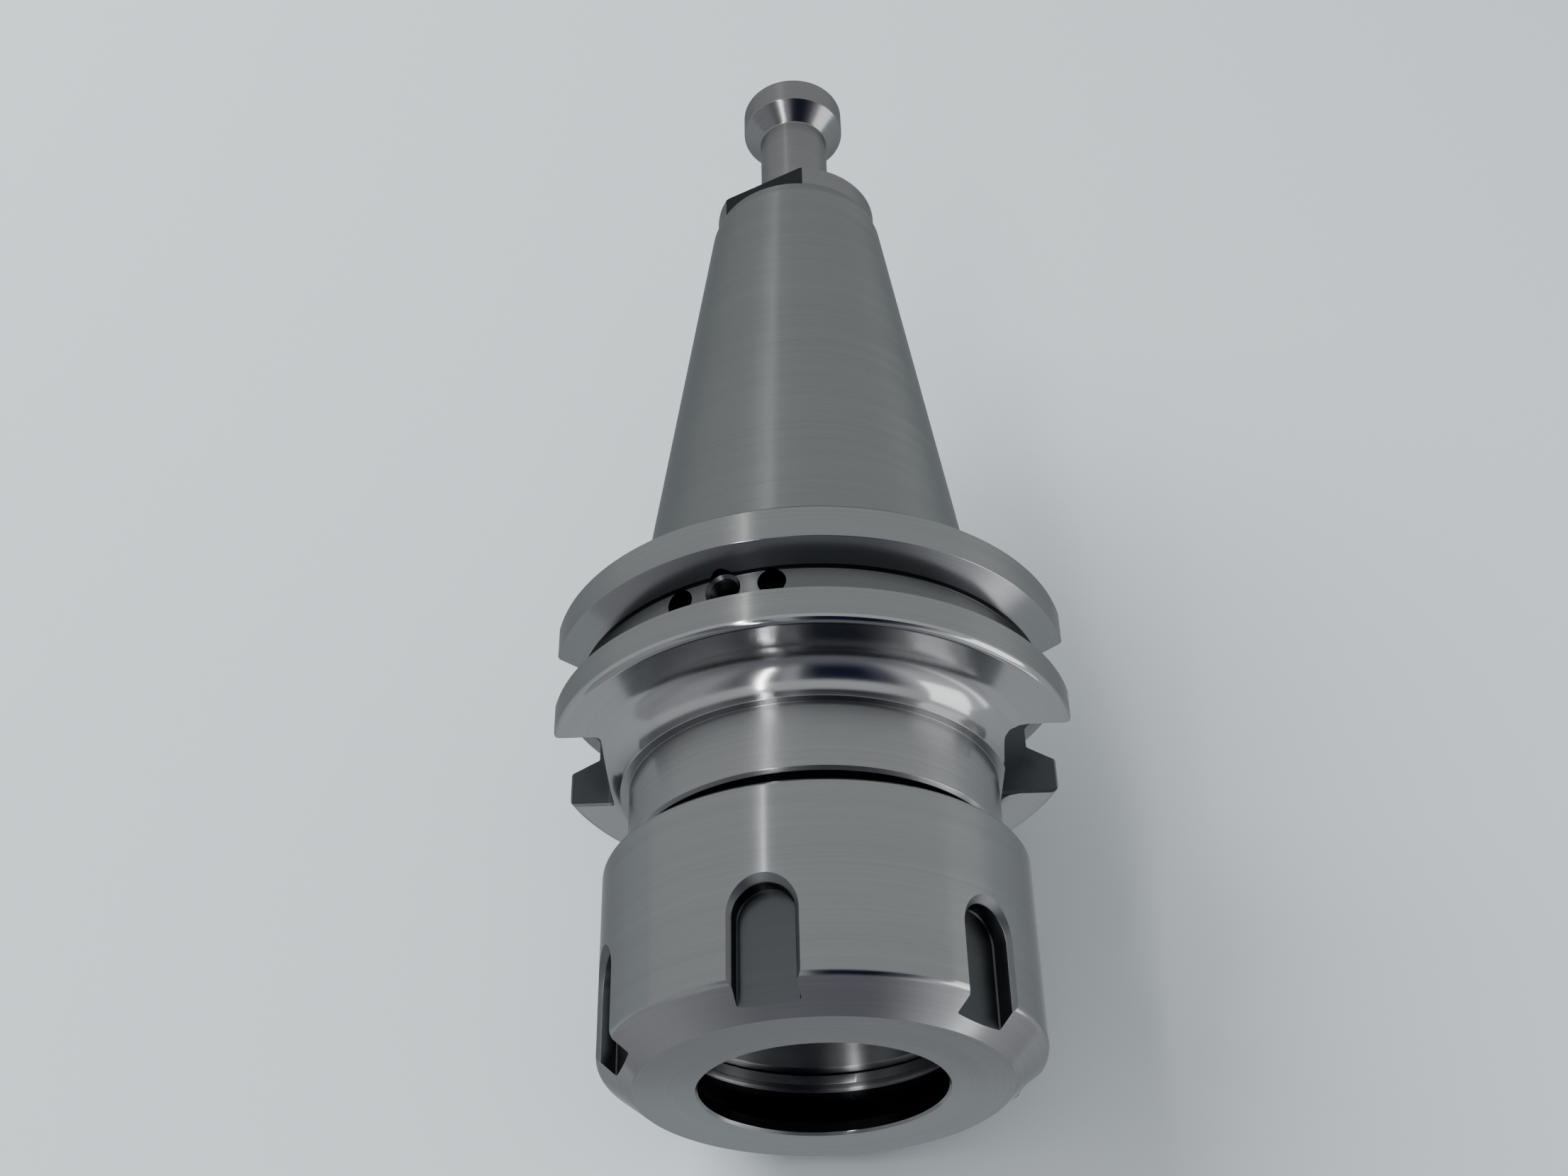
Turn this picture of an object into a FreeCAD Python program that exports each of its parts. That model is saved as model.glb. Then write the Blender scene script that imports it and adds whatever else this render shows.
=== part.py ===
import FreeCAD, Part
import math
import os

# Collet chuck holder: a steep-taper milling holder with a collet socket in its nose, a slotted
# clamping nut on that nose and a retention knob in the small end of the taper.
# It stands on the nut's front face with the spindle axis along +Z, so the knob is on top.
# The origin is the middle of the nut's front face. All sizes are in millimetres.

# Steep taper, measured from the gauge line, where it has its gauge diameter
TAPER_GAUGE_DIAMETER = 44.45
TAPER_PER_LENGTH = 7.0 / 24.0
TAPER_LENGTH = 68.25
TAPER_LEAD_LENGTH = 1.85
TAPER_END_DIAMETER = 23.2
TAPER_RELIEF_DEPTH = 0.5

# Flange with its gripper groove
FLANGE_DIAMETER = 63.5
FLANGE_WIDTH = 15.875
FLANGE_TO_GAUGE = 3.175
FLANGE_REAR_EDGE = 0.4
FLANGE_FRONT_EDGE = 0.7
GROOVE_TO_FLANGE_REAR = 7.925
GROOVE_ANGLE = 60.0
GROOVE_MOUTH_WIDTH = 6.95
GROOVE_DEPTH = 3.45

# Drive slots across the flange, of unequal depth
DRIVE_SLOT_WIDTH = 16.38
DRIVE_SLOT_DEPTH_PLUS_X = 9.15
DRIVE_SLOT_DEPTH_MINUS_X = 6.73
DRIVE_SLOT_CORNER = 0.8

# Radial drillings in the floor of the groove: two balance holes and one tapped hole
BALANCE_HOLE_DIAMETER = 3.3
BALANCE_HOLE_DEPTH = 7.5
BALANCE_HOLE_AZIMUTHS = (-31.0, -8.1)
TAPPED_HOLE_DIAMETER = 4.0
TAPPED_HOLE_DEPTH = 9.0
TAPPED_HOLE_AZIMUTH = -19.8

# Set screw in the tapped hole
SET_SCREW_LENGTH = 5.0
SET_SCREW_SINK = 2.0
SET_SCREW_SOCKET_WIDTH = 2.0
SET_SCREW_SOCKET_DEPTH = 2.2

# Boss and neck in front of the flange
BOSS_STEP = 1.1
BOSS_LENGTH = 4.35
BOSS_FILLET_RADIUS = 3.75
BOSS_FILLET_BEVELS = 3
NECK_DIAMETER = 44.4
NECK_LENGTH = 8.6
NECK_EDGE = 0.4
NECK_TO_NUT = 2.6

# Nose, with its fine thread drawn as a plain cylinder at the thread's pitch diameter
NOSE_THREAD_DIAMETER = 40.0
NOSE_THREAD_PITCH = 1.5
NOSE_RELIEF_DEPTH = 1.3
NOSE_RELIEF_WIDTH = 3.2
NOSE_TO_PULL_LIP = 0.8
NOSE_EDGE = 1.0
PITCH_DEPTH_PER_PITCH = 0.6495

# Collet socket and the bores behind it
SOCKET_MOUTH_DIAMETER = 33.0
SOCKET_HALF_ANGLE = 8.0
SOCKET_DEPTH = 38.0
SOCKET_LEAD = 0.5
SHANK_BORE_PAST_GAUGE = 26.0
PASSAGE_DIAMETER = 11.0

# Clamping nut
NUT_DIAMETER = 50.0
NUT_LENGTH = 25.4
NUT_FACE_DIAMETER = 42.1
NUT_FRONT_CHAMFER_LENGTH = 3.1
NUT_REAR_EDGE = 0.5
NUT_MOUTH_DIAMETER = 27.6
NUT_MOUTH_EDGE = 0.3
NUT_LIP_LENGTH = 1.5
NUT_CONE_HALF_ANGLE = 30.0
NUT_CONE_DIAMETER = 32.8
THREAD_CLEARANCE = 0.05

# Offset lip inside the nut, which snaps into the collet's groove
PULL_GROOVE_DEPTH = 0.7
PULL_GROOVE_WIDTH = 0.7
PULL_LIP_STEP = 0.1
PULL_LIP_OFFSET = 0.7
PULL_LIP_WIDTH = 1.1

# Six wrench slots round the nut
WRENCH_SLOT_COUNT = 6
WRENCH_SLOT_WIDTH = 6.8
WRENCH_SLOT_END_HEIGHT = 13.8
WRENCH_SLOT_DEPTH = 2.5
WRENCH_SLOT_FLARE = 1.0
WRENCH_SLOT_AZIMUTH = -13.4

# Retention knob
KNOB_FLANGE_DIAMETER = 23.0
KNOB_FLANGE_THICKNESS = 3.5
KNOB_FLAT_WIDTH = 19.2
KNOB_FLAT_AZIMUTH = -27.8
KNOB_NECK_DIAMETER = 10.0
KNOB_CONE_SETBACK = 20.2
KNOB_HEAD_DIAMETER = 15.0
KNOB_HEAD_BAND = 4.0
KNOB_LENGTH = 29.8
KNOB_THREAD_DIAMETER = 15.875
KNOB_THREAD_PITCH = 25.4 / 11.0
KNOB_THREAD_LENGTH = 26.0
KNOB_THREAD_DEPTH_SPARE = 3.0
KNOB_CLEARANCE = 0.05

# Heights that several pieces share, stacked up from the nut's front face
NUT_CONE_LENGTH = (NUT_CONE_DIAMETER - NUT_MOUTH_DIAMETER) / 2
NUT_CONE_LENGTH = NUT_CONE_LENGTH / math.tan(math.radians(NUT_CONE_HALF_ANGLE))
NUT_CONE_END = NUT_LIP_LENGTH + NUT_CONE_LENGTH
PULL_GROOVE_END = NUT_CONE_END + PULL_GROOVE_WIDTH
PULL_LIP_END = PULL_GROOVE_END + PULL_LIP_WIDTH
NOSE_FACE = PULL_LIP_END + NOSE_TO_PULL_LIP
NECK_END = NUT_LENGTH + NECK_TO_NUT
BOSS_END = NECK_END + NECK_LENGTH
FLANGE_FRONT = BOSS_END + BOSS_LENGTH
FLANGE_REAR = FLANGE_FRONT + FLANGE_WIDTH
GROOVE_HEIGHT = FLANGE_REAR - GROOVE_TO_FLANGE_REAR
GAUGE_HEIGHT = FLANGE_REAR + FLANGE_TO_GAUGE
SHANK_TOP = GAUGE_HEIGHT + TAPER_LENGTH + TAPER_LEAD_LENGTH

# Radii that several pieces share
FLANGE_RADIUS = FLANGE_DIAMETER / 2
GROOVE_FLOOR_RADIUS = FLANGE_RADIUS - GROOVE_DEPTH
NUT_RADIUS = NUT_DIAMETER / 2
PULL_LIP_RADIUS = NUT_CONE_DIAMETER / 2 - PULL_LIP_STEP

AXIS = FreeCAD.Vector(0, 0, 1)
ORIGIN = FreeCAD.Vector(0, 0, 0)


def point(radius, height):
    """Point of a turned section, in the XZ plane."""
    return FreeCAD.Vector(radius, 0, height)


def outward(azimuth):
    """Unit vector away from the axis; azimuth 0 is -Y and +90 is +X, in degrees."""
    angle = math.radians(azimuth)
    return FreeCAD.Vector(math.sin(angle), -math.cos(angle), 0)


def turned(outline):
    """Solid of revolution about the spindle axis, from the corner points of its section."""
    face = Part.Face(Part.makePolygon(outline + outline[:1]))
    return face.revolve(ORIGIN, AXIS, 360)


def fillet_points(radius, boss_radius):
    """Inner corner between boss and flange, rounded in a few straight bevels."""
    points = []
    for index in range(BOSS_FILLET_BEVELS + 1):
        angle = math.pi / 2 * index / BOSS_FILLET_BEVELS
        outwards = boss_radius + radius - radius * math.cos(angle)
        upwards = FLANGE_FRONT - radius + radius * math.sin(angle)
        points.append(point(outwards, upwards))
    return points


def pitch_radius(nominal_diameter, pitch):
    """Radius of the plain cylinder that stands for a thread."""
    return (nominal_diameter - PITCH_DEPTH_PER_PITCH * pitch) / 2


def taper_radius(distance):
    """Radius of the steep taper at a distance beyond the gauge line."""
    return TAPER_GAUGE_DIAMETER / 2 - distance * TAPER_PER_LENGTH / 2


def body_outline():
    """Outside of the holder body, from the nose face up to the small end of the taper."""
    thread_radius = pitch_radius(NOSE_THREAD_DIAMETER, NOSE_THREAD_PITCH)
    relief_radius = NOSE_THREAD_DIAMETER / 2 - NOSE_RELIEF_DEPTH
    neck_radius = NECK_DIAMETER / 2
    boss_radius = neck_radius + BOSS_STEP
    gauge_radius = TAPER_GAUGE_DIAMETER / 2
    half_mouth = GROOVE_MOUTH_WIDTH / 2
    half_floor = half_mouth - GROOVE_DEPTH * math.tan(math.radians(GROOVE_ANGLE / 2))
    relief_bottom = NECK_END - NOSE_RELIEF_WIDTH
    wall_height = FLANGE_RADIUS - FLANGE_FRONT_EDGE - boss_radius
    fillet_radius = min(BOSS_FILLET_RADIUS, 0.9 * wall_height, 0.9 * BOSS_LENGTH)
    nose_step = thread_radius - relief_radius
    return [
        point(thread_radius - NOSE_EDGE, NOSE_FACE),
        point(thread_radius, NOSE_FACE + NOSE_EDGE),
        point(thread_radius, relief_bottom - nose_step),
        point(relief_radius, relief_bottom),
        point(relief_radius, NECK_END),
        point(neck_radius - NECK_EDGE, NECK_END),
        point(neck_radius, NECK_END + NECK_EDGE),
        point(neck_radius, BOSS_END),
        point(boss_radius, BOSS_END),
        *fillet_points(fillet_radius, boss_radius),
        point(FLANGE_RADIUS - FLANGE_FRONT_EDGE, FLANGE_FRONT),
        point(FLANGE_RADIUS, FLANGE_FRONT + FLANGE_FRONT_EDGE),
        point(FLANGE_RADIUS, GROOVE_HEIGHT - half_mouth),
        point(GROOVE_FLOOR_RADIUS, GROOVE_HEIGHT - half_floor),
        point(GROOVE_FLOOR_RADIUS, GROOVE_HEIGHT + half_floor),
        point(FLANGE_RADIUS, GROOVE_HEIGHT + half_mouth),
        point(FLANGE_RADIUS, FLANGE_REAR - FLANGE_REAR_EDGE),
        point(FLANGE_RADIUS - FLANGE_REAR_EDGE, FLANGE_REAR),
        point(gauge_radius - TAPER_RELIEF_DEPTH, FLANGE_REAR),
        point(gauge_radius - TAPER_RELIEF_DEPTH, GAUGE_HEIGHT - TAPER_RELIEF_DEPTH),
        point(gauge_radius, GAUGE_HEIGHT),
        point(taper_radius(TAPER_LENGTH), GAUGE_HEIGHT + TAPER_LENGTH),
        point(TAPER_END_DIAMETER / 2, SHANK_TOP),
    ]


def bore_outline():
    """Inside of the holder body, from the small end of the taper down to the collet socket."""
    mouth_radius = SOCKET_MOUTH_DIAMETER / 2
    mouth_height = NOSE_FACE + SOCKET_LEAD
    socket_end = mouth_height + SOCKET_DEPTH
    shank_radius = mouth_radius - SOCKET_DEPTH * math.tan(math.radians(SOCKET_HALF_ANGLE))
    shank_end = GAUGE_HEIGHT + SHANK_BORE_PAST_GAUGE
    passage_radius = PASSAGE_DIAMETER / 2
    thread_radius = pitch_radius(KNOB_THREAD_DIAMETER, KNOB_THREAD_PITCH) + KNOB_CLEARANCE
    thread_floor = SHANK_TOP - KNOB_THREAD_LENGTH - KNOB_THREAD_DEPTH_SPARE
    return [
        point(thread_radius, SHANK_TOP),
        point(thread_radius, thread_floor),
        point(passage_radius, thread_floor),
        point(passage_radius, shank_end),
        point(shank_radius, shank_end),
        point(shank_radius, socket_end),
        point(mouth_radius, mouth_height),
        point(mouth_radius + SOCKET_LEAD, NOSE_FACE),
    ]


def drive_slot(depth, side):
    """Cutter for one drive slot: full width, through the flange, with rounded floor corners."""
    floor_distance = FLANGE_RADIUS - depth
    height = FLANGE_REAR - BOSS_END + 1
    corner = FreeCAD.Vector(floor_distance, -DRIVE_SLOT_WIDTH / 2, BOSS_END)
    block = Part.makeBox(depth + 1, DRIVE_SLOT_WIDTH, height, corner)
    floor_edges = []
    for edge in block.Edges:
        start = edge.Vertexes[0].Point
        end = edge.Vertexes[1].Point
        on_floor = abs(start.x - floor_distance) < 1e-6 and abs(end.x - floor_distance) < 1e-6
        if on_floor and abs(end.z - start.z) > 1:
            floor_edges.append(edge)
    block = block.makeFillet(DRIVE_SLOT_CORNER, floor_edges)
    if side < 0:
        block.rotate(ORIGIN, AXIS, 180)
    return block


def groove_drilling(diameter, depth, azimuth):
    """Cutter for one radial drilling in the floor of the gripper groove."""
    inner_end = outward(azimuth) * (GROOVE_FLOOR_RADIUS - depth) + AXIS * GROOVE_HEIGHT
    return Part.makeCylinder(diameter / 2, GROOVE_DEPTH + depth, inner_end, outward(azimuth))


def make_holder_body():
    """Taper, flange, neck and nose, turned from one bar, with the drive slots milled across."""
    body = turned(body_outline() + bore_outline())
    cutters = [
        drive_slot(DRIVE_SLOT_DEPTH_PLUS_X, 1),
        drive_slot(DRIVE_SLOT_DEPTH_MINUS_X, -1),
        groove_drilling(TAPPED_HOLE_DIAMETER, TAPPED_HOLE_DEPTH, TAPPED_HOLE_AZIMUTH),
    ]
    for azimuth in BALANCE_HOLE_AZIMUTHS:
        cutters.append(groove_drilling(BALANCE_HOLE_DIAMETER, BALANCE_HOLE_DEPTH, azimuth))
    return body.cut(cutters)


def nut_outline():
    """Section of the clamping nut before its slots and its offset lip are cut."""
    mouth_radius = NUT_MOUTH_DIAMETER / 2
    cone_radius = NUT_CONE_DIAMETER / 2
    groove_radius = cone_radius + PULL_GROOVE_DEPTH
    lip_radius = PULL_LIP_RADIUS - PULL_LIP_OFFSET
    body_thread_radius = pitch_radius(NOSE_THREAD_DIAMETER, NOSE_THREAD_PITCH)
    thread_radius = body_thread_radius + THREAD_CLEARANCE
    return [
        point(mouth_radius + NUT_MOUTH_EDGE, 0),
        point(NUT_FACE_DIAMETER / 2, 0),
        point(NUT_RADIUS, NUT_FRONT_CHAMFER_LENGTH),
        point(NUT_RADIUS, NUT_LENGTH - NUT_REAR_EDGE),
        point(NUT_RADIUS - NUT_REAR_EDGE, NUT_LENGTH),
        point(thread_radius, NUT_LENGTH),
        point(thread_radius, PULL_LIP_END),
        point(lip_radius, PULL_LIP_END),
        point(lip_radius, PULL_GROOVE_END),
        point(groove_radius, PULL_GROOVE_END),
        point(groove_radius, NUT_CONE_END),
        point(cone_radius, NUT_CONE_END),
        point(mouth_radius, NUT_LIP_LENGTH),
        point(mouth_radius, NUT_MOUTH_EDGE),
    ]


def pull_lip_bore():
    """Cutter that bores the nut's inner lip off centre, so that it is full on one side only."""
    overlap = PULL_GROOVE_WIDTH / 2
    height = overlap + PULL_LIP_WIDTH + overlap
    centre = FreeCAD.Vector(0, -PULL_LIP_OFFSET, PULL_GROOVE_END - overlap)
    return Part.makeCylinder(PULL_LIP_RADIUS, height, centre, AXIS)


def slot_section(half_width, arch_height, distance):
    """Round-ended slot shape in a plane that faces -Y at a distance from the axis."""
    bottom = -2 * NUT_FRONT_CHAMFER_LENGTH
    lower_left = FreeCAD.Vector(-half_width, -distance, bottom)
    lower_right = FreeCAD.Vector(half_width, -distance, bottom)
    upper_left = FreeCAD.Vector(-half_width, -distance, arch_height)
    upper_right = FreeCAD.Vector(half_width, -distance, arch_height)
    crown = FreeCAD.Vector(0, -distance, arch_height + half_width)
    return Part.Wire([
        Part.makeLine(lower_left, lower_right),
        Part.makeLine(lower_right, upper_right),
        Part.Arc(upper_right, crown, upper_left).toShape(),
        Part.makeLine(upper_left, lower_left),
    ])


def wrench_slot():
    """Cutter for one wrench slot, facing -Y, with a flared mouth."""
    half_width = WRENCH_SLOT_WIDTH / 2
    arch_height = WRENCH_SLOT_END_HEIGHT - half_width
    flare_start = NUT_RADIUS - WRENCH_SLOT_FLARE
    outside = NUT_RADIUS + WRENCH_SLOT_FLARE
    sections = [
        slot_section(half_width, arch_height, NUT_RADIUS - WRENCH_SLOT_DEPTH),
        slot_section(half_width, arch_height, flare_start),
        slot_section(half_width + outside - flare_start, arch_height, outside),
    ]
    return Part.makeLoft(sections, True, True)


def make_clamping_nut():
    """Round nut with an inner cone and offset lip for the collet, and six wrench slots."""
    nut = turned(nut_outline())
    cutters = [pull_lip_bore()]
    for index in range(WRENCH_SLOT_COUNT):
        slot = wrench_slot()
        slot.rotate(ORIGIN, AXIS, WRENCH_SLOT_AZIMUTH + index * 360 / WRENCH_SLOT_COUNT)
        cutters.append(slot)
    return nut.cut(cutters)


def make_retention_knob():
    """Drawbar knob: threaded shank in the body, flange with two flats, neck and head."""
    thread_radius = pitch_radius(KNOB_THREAD_DIAMETER, KNOB_THREAD_PITCH)
    shank_bottom = SHANK_TOP - KNOB_THREAD_LENGTH
    flange_radius = KNOB_FLANGE_DIAMETER / 2
    flange_top = SHANK_TOP + KNOB_FLANGE_THICKNESS
    neck_radius = KNOB_NECK_DIAMETER / 2
    head_radius = KNOB_HEAD_DIAMETER / 2
    cone_start = SHANK_TOP + KNOB_CONE_SETBACK
    cone_end = cone_start + head_radius - neck_radius
    top = SHANK_TOP + KNOB_LENGTH
    band_end = cone_end + KNOB_HEAD_BAND
    crown_radius = head_radius - (top - band_end)
    knob = turned([
        point(0, shank_bottom),
        point(thread_radius, shank_bottom),
        point(thread_radius, SHANK_TOP),
        point(flange_radius, SHANK_TOP),
        point(flange_radius, flange_top),
        point(neck_radius, flange_top),
        point(neck_radius, cone_start),
        point(head_radius, cone_end),
        point(head_radius, band_end),
        point(crown_radius, top),
        point(0, top),
    ])
    return knob.cut(knob_flats())


def knob_flats():
    """Cutters for the two wrench flats on the knob's flange."""
    reach = KNOB_FLANGE_DIAMETER
    thickness = KNOB_FLANGE_THICKNESS
    flats = []
    for half_turn in (0, 180):
        corner = FreeCAD.Vector(-reach / 2, -reach, SHANK_TOP)
        block = Part.makeBox(reach, reach - KNOB_FLAT_WIDTH / 2, thickness, corner)
        block.rotate(ORIGIN, AXIS, KNOB_FLAT_AZIMUTH + half_turn)
        flats.append(block)
    return flats


def make_set_screw():
    """Headless screw with a hexagon socket, sunk in the tapped hole."""
    radius = TAPPED_HOLE_DIAMETER / 2
    direction = outward(TAPPED_HOLE_AZIMUTH)
    outer_end = GROOVE_FLOOR_RADIUS - SET_SCREW_SINK
    inner_end = outer_end - SET_SCREW_LENGTH
    base = direction * inner_end + AXIS * GROOVE_HEIGHT
    barrel = Part.makeCylinder(radius, SET_SCREW_LENGTH, base, direction)
    corner_radius = SET_SCREW_SOCKET_WIDTH / math.sqrt(3)
    mouth = direction * outer_end + AXIS * GROOVE_HEIGHT
    sideways = AXIS.cross(direction)
    corners = []
    for index in range(7):
        angle = math.radians(60 * index)
        offset = AXIS * math.cos(angle) + sideways * math.sin(angle)
        corners.append(mouth + offset * corner_radius)
    hexagon = Part.Face(Part.makePolygon(corners))
    return barrel.cut(hexagon.extrude(direction * -SET_SCREW_SOCKET_DEPTH))


def main():
    os.makedirs("parts", exist_ok=True)
    nodes = {
        "holder_body": make_holder_body(),
        "clamping_nut": make_clamping_nut(),
        "retention_knob": make_retention_knob(),
        "set_screw": make_set_screw(),
    }
    for name, shape in nodes.items():
        shape.exportStep("parts/" + name + ".step")
        print(name, shape.isValid(), len(shape.Solids), round(shape.Volume, 1))


main()
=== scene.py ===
# %% [markdown]
# A collet chuck holder holds a milling cutter in a machine spindle. Its steep taper seats in
# the spindle, the knob at the small end is pulled up by the drawbar, and the slotted nut at
# the other end squeezes a collet on to the cutter's shank. This lesson dresses the plain
# solids of such a holder as ground, turned and milled steel. The first step loads the solids.

import math

import bpy
import numpy as np
from mathutils import Matrix, Vector


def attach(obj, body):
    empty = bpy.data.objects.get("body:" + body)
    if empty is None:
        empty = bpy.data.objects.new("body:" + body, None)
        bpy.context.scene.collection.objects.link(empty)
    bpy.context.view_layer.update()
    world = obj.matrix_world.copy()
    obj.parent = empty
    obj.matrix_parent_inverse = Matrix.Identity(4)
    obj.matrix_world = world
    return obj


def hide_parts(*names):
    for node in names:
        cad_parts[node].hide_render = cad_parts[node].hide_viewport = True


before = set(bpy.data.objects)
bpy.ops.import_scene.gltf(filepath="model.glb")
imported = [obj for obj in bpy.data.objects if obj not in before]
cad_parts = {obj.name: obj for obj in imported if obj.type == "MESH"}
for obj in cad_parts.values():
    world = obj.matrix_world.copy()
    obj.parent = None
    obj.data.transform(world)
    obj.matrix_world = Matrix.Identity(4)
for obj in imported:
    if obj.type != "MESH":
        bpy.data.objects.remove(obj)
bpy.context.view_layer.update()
print("solids loaded:", sorted(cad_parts))

# %% [markdown]
# The holder stands on its nut, with the spindle axis upright. The photograph looks at
# it from below the nut's rim, from the side of the three small drillings. The camera
# was solved from edges whose sizes are known. It is written as a place and as the
# directions that are right and down in the picture, and its view goes square to both.

# %% Camera
LENS_MM = 44.45
SENSOR_WIDTH_MM = 36.0
NEAREST_SEEN = 0.01
CAMERA_PLACE = Vector((0.0, -0.20539, -0.07645))
CAMERA_RIGHT = Vector((0.9994, 0.0283, -0.0193))
CAMERA_DOWN = Vector((-0.0320, 0.5734, -0.8186))

camera_data = bpy.data.cameras.new("photo_camera")
camera_data.lens = LENS_MM
camera_data.sensor_width = SENSOR_WIDTH_MM
camera_data.clip_start = NEAREST_SEEN
camera = bpy.data.objects.new("photo_camera", camera_data)
bpy.context.scene.collection.objects.link(camera)
up = -CAMERA_DOWN.normalized()
back = CAMERA_RIGHT.normalized().cross(up).normalized()
right = up.cross(back)
turn_matrix = Matrix((right, up, back)).transposed().to_4x4()
camera.matrix_world = Matrix.Translation(CAMERA_PLACE) @ turn_matrix
bpy.context.scene.camera = camera
print("camera looks along", [round(value, 3) for value in -back])

# %% [markdown]
# Every piece here came off a lathe before anything was milled into it, so its form is
# a section carried round an axis. A real section has no perfectly sharp corners: each
# one has a small round, and those rounds catch the light. The next helper takes corner
# points with a round for each one and gives the section as a fine line. It also keeps
# the surface's direction at both ends of each short run, so that the shading later
# follows the true form and not the facets.

# %% Sections with rounded corners
MM = 0.001
ROUND_STEPS = 5
LARGEST_SHARE = 0.9  # of a side, taken up by the round at one of its ends


def corner_round(before, here, after, wanted):
    """Points and outward directions of the arc that rounds one corner of a section.

    point(t) = centre + radius * (cos t, sin t), touching both sides of the corner.
    """
    to_before, to_after = before - here, after - here
    lengths = np.linalg.norm(to_before), np.linalg.norm(to_after)
    to_before, to_after = to_before / lengths[0], to_after / lengths[1]
    half_angle = math.acos(np.clip(to_before @ to_after, -1, 1)) / 2
    wanted_reach = wanted / math.tan(half_angle)
    reach = min(wanted_reach, LARGEST_SHARE * lengths[0], LARGEST_SHARE * lengths[1])
    radius = reach * math.tan(half_angle)
    middle = to_before + to_after
    centre = here + middle / np.linalg.norm(middle) * radius / math.sin(half_angle)
    first = here + to_before * reach - centre
    final = here + to_after * reach - centre
    turn = math.atan2(first[0] * final[1] - first[1] * final[0], first @ final)
    angles = math.atan2(first[1], first[0]) + turn * np.linspace(0, 1, ROUND_STEPS + 1)
    spokes = np.stack([np.cos(angles), np.sin(angles)], axis=1)
    return centre + radius * spokes, spokes if turn > 0 else -spokes


def section(corners, closed=True):
    """Fine line through corners (radius, height, round) in millimetres.

    The outside is to the right of the walk. Gives an array of runs, each with its start,
    its end, and the outward directions at both.
    """
    table = np.array(corners, float)
    count = len(table)
    lines, ways = [], []
    for index in range(count):
        here, wanted = table[index, :2], table[index, 2]
        if wanted > 0:
            before, after = table[index - 1, :2], table[(index + 1) % count, :2]
            line, way = corner_round(before, here, after, wanted)
        else:
            line, way = here[None], None
        lines.append(line)
        ways.append(way)
    runs = []
    for index in range(count):
        line, way = lines[index], ways[index]
        for step in range(len(line) - 1):
            runs.append((line[step], line[step + 1], way[step], way[step + 1]))
        if closed or index < count - 1:
            start, end = line[-1], lines[(index + 1) % count][0]
            along = (end - start) / np.linalg.norm(end - start)
            side = np.array([along[1], -along[0]])
            runs.append((start, end, side, side))
    return np.array(runs)


example = section([(1, 0, 0), (2, 0, 0.5), (2, 1, 0)])
print("a triangle with one round becomes", len(example), "runs")

# %% [markdown]
# The section becomes a mesh by turning it: point(s, a) = (r(s) cos a, r(s) sin a, z(s)).
# All the rings are worked out at once as one array. The same maker also skins the
# cutters that mill slots and drill holes, because those too are rings of points joined
# row by row. Each face remembers in its material number which run of the section it
# came from, and the cutters' faces use numbers above those of any section. A turned
# ring starts a part of a step past the X axis, which keeps its points off the cutters'
# planes of symmetry.

# %% Skinning a grid of points
AROUND = 256
RING_START = 0.37
CUT_FACE = 240
SLOTS_HELD = 245


def skin(name, grid, numbers, wrap_rows=False):
    """Mesh from a grid of points in millimetres: rows are rings, and each ring is closed.

    Face (i, j) joins points (i, j), (i, j+1), (i+1, j+1) and (i+1, j), and its number is
    numbers[i] or numbers[i, j]. An open grid gets a flat face at its first and last ring.
    """
    rows, columns = grid.shape[:2]
    index = np.arange(rows * columns).reshape(rows, columns)
    if wrap_rows:
        index = np.vstack([index, index[:1]])
    low, high = index[:-1], index[1:]
    quads = np.stack([low, np.roll(low, -1, 1), np.roll(high, -1, 1), high], axis=-1)
    faces = quads.reshape(-1, 4).tolist()
    by_row = numbers.reshape(len(low), -1)
    face_numbers = np.broadcast_to(by_row, (len(low), columns)).reshape(-1)
    if not wrap_rows:
        faces += [index[0][::-1].tolist(), index[-1].tolist()]
        face_numbers = np.append(face_numbers, [by_row[0, 0], by_row[-1, 0]])
    mesh = bpy.data.meshes.new(name)
    mesh.from_pydata((grid.reshape(-1, 3) * MM).tolist(), [], faces)
    for _ in range(SLOTS_HELD):
        mesh.materials.append(None)
    mesh.polygons.foreach_set("material_index", face_numbers.astype(np.int32))
    piece = bpy.data.objects.new(name, mesh)
    bpy.context.scene.collection.objects.link(piece)
    return piece


def circle_angles(count, start=0):
    """Angles of equal steps round a circle; start is the first angle, counted in steps."""
    return (np.arange(count) + start) * 2 * np.pi / count


def turned(name, runs, closed=True):
    """Piece turned from a section: (r, z) at angle a is (r cos a, r sin a, z)."""
    line = runs[:, 0] if closed else np.vstack([runs[:, 0], runs[-1:, 1]])
    angles = circle_angles(AROUND, RING_START)
    radii, heights = line[:, 0, None], line[:, 1, None]
    grid = np.stack(
        [radii * np.cos(angles), radii * np.sin(angles), heights + 0 * angles], axis=-1
    )
    return skin(name, grid, np.arange(len(runs)), wrap_rows=closed)


def turned_about_z(points, degrees):
    """The points turned about the spindle axis: after 90 degrees, -Y has become +X."""
    angle = math.radians(degrees)
    matrix = np.array(
        [
            [math.cos(angle), -math.sin(angle), 0],
            [math.sin(angle), math.cos(angle), 0],
            [0, 0, 1],
        ]
    )
    return points @ matrix.T


quarter = turned_about_z(np.array([0.0, -1.0, 0.0]), 90)
print("-Y after 90 degrees:", quarter.round(3).tolist())

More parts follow.
